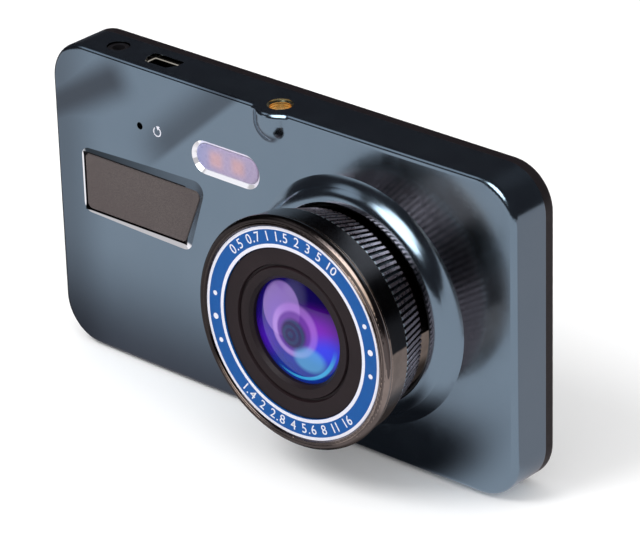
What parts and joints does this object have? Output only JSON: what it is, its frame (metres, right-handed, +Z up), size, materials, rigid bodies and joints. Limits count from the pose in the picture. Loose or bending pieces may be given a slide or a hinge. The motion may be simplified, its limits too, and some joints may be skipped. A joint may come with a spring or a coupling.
{
  "type": "dash camera",
  "caption": "Flat dash camera: crowned metal front cover with a lens collar and barrel, slim rear display, edge keys, card slot and a threaded hole on top for a bracket.",
  "frame": {"origin": "centre of the bracket hole's mouth on the top face", "axes": "+X to the right seen from the lens side, -Y the way the lens looks, +Z up"},
  "size_m": [0.115, 0.0302, 0.0647],
  "materials": {
    "cover_paint": "satin metallic",
    "frame_plastic": "fine matt",
    "insert_brass": "machined",
    "trim_finish": "fine textured",
    "tape": "foam tape",
    "window_plastic": "frosted translucent",
    "screw_steel": "zinc plated",
    "display_glass": "black glass",
    "panel": "glossy",
    "tray_steel": "pressed sheet",
    "flex_film": "polyimide film",
    "board_resin": "solder mask",
    "package_black": "moulded",
    "connector_plastic": "moulded",
    "parts_metal": "can",
    "black_plastic": "moulded",
    "plunger_plastic": "moulded",
    "cell_foil": "foil pouch",
    "lead_insulation": "flexible",
    "barrel_metal": "dark polished",
    "knurl_metal": "dark polished",
    "black_metal": "black anodised",
    "label_print": "printed blue",
    "plate_black": "satin",
    "lens_glass": "coated",
    "filter_glass": "coated",
    "button_metal": "satin"
  },
  "bodies": {
    "housing": {"front_cover": "cover_paint", "rear_frame": "frame_plastic", "thread_insert": "insert_brass", "trim_plate": "trim_finish", "trim_adhesive": "tape", "light_window": "window_plastic", "case_screws": "screw_steel", "board_screws": "screw_steel", "holder_screws": "screw_steel", "display_glass": "display_glass", "display_adhesive": "tape", "lcd_panel": "panel", "backlight_unit": "tray_steel", "lcd_flex": "flex_film", "lcd_connector": "connector_plastic", "main_board": "board_resin", "processor": "package_black", "memory_chips": "package_black", "power_parts": "parts_metal", "usb_receptacle": "tray_steel", "usb_tongue": "package_black", "av_jack": "black_plastic", "reset_switch": "black_plastic", "card_socket": "tray_steel", "battery": "cell_foil", "battery_pad": "tape", "battery_lead": "lead_insulation", "speaker": "black_plastic", "microphone": "package_black", "led_board": "board_resin", "fill_leds": "connector_plastic", "led_header": "package_black", "lens_barrel": "barrel_metal", "knurled_ring": "knurl_metal", "barrel_lock_ring": "black_metal", "dust_seal": "tape", "label_ring": "label_print", "face_plate": "plate_black", "lens_window": "lens_glass", "lens_cell": "black_metal", "lens_element_front": "lens_glass", "lens_element_middle": "lens_glass", "lens_element_rear": "lens_glass", "aperture_stop": "black_metal", "lens_holder": "black_plastic", "ir_filter": "filter_glass", "image_sensor": "package_black", "button_switches": "black_plastic"},
    "power_button_key": {"power_button": "button_metal"},
    "menu_button_key": {"menu_button": "button_metal"},
    "mode_button_key": {"mode_button": "button_metal"},
    "up_button_key": {"up_button": "button_metal"},
    "ok_button_key": {"ok_button": "button_metal"},
    "down_button_key": {"down_button": "button_metal"},
    "reset_pin": {"reset_plunger": "plunger_plastic"},
    "card": {"memory_card": "black_plastic"}
  },
  "joints": [
    {"name": "power_button_press", "type": "slide", "parent": "housing", "child": "power_button_key", "axis": [0, 0, 1], "range_m": [0, 0.0003], "stiffness_N_per_m": 200},
    {"name": "menu_button_press", "type": "slide", "parent": "housing", "child": "menu_button_key", "axis": [0, 0, 1], "range_m": [0, 0.0003], "stiffness_N_per_m": 200},
    {"name": "mode_button_press", "type": "slide", "parent": "housing", "child": "mode_button_key", "axis": [0, 0, 1], "range_m": [0, 0.0003], "stiffness_N_per_m": 200},
    {"name": "up_button_press", "type": "slide", "parent": "housing", "child": "up_button_key", "axis": [0, 0, 1], "range_m": [0, 0.0003], "stiffness_N_per_m": 200},
    {"name": "ok_button_press", "type": "slide", "parent": "housing", "child": "ok_button_key", "axis": [0, 0, 1], "range_m": [0, 0.0003], "stiffness_N_per_m": 200},
    {"name": "down_button_press", "type": "slide", "parent": "housing", "child": "down_button_key", "axis": [0, 0, 1], "range_m": [0, 0.0003], "stiffness_N_per_m": 200},
    {"name": "reset_press", "type": "slide", "parent": "housing", "child": "reset_pin", "axis": [0, 1, 0], "range_m": [0, 0.00025], "stiffness_N_per_m": 200},
    {"name": "card_slide", "type": "slide", "parent": "housing", "child": "card", "axis": [-1, 0, 0], "range_m": [-0.0006, 0.004]}
  ]
}
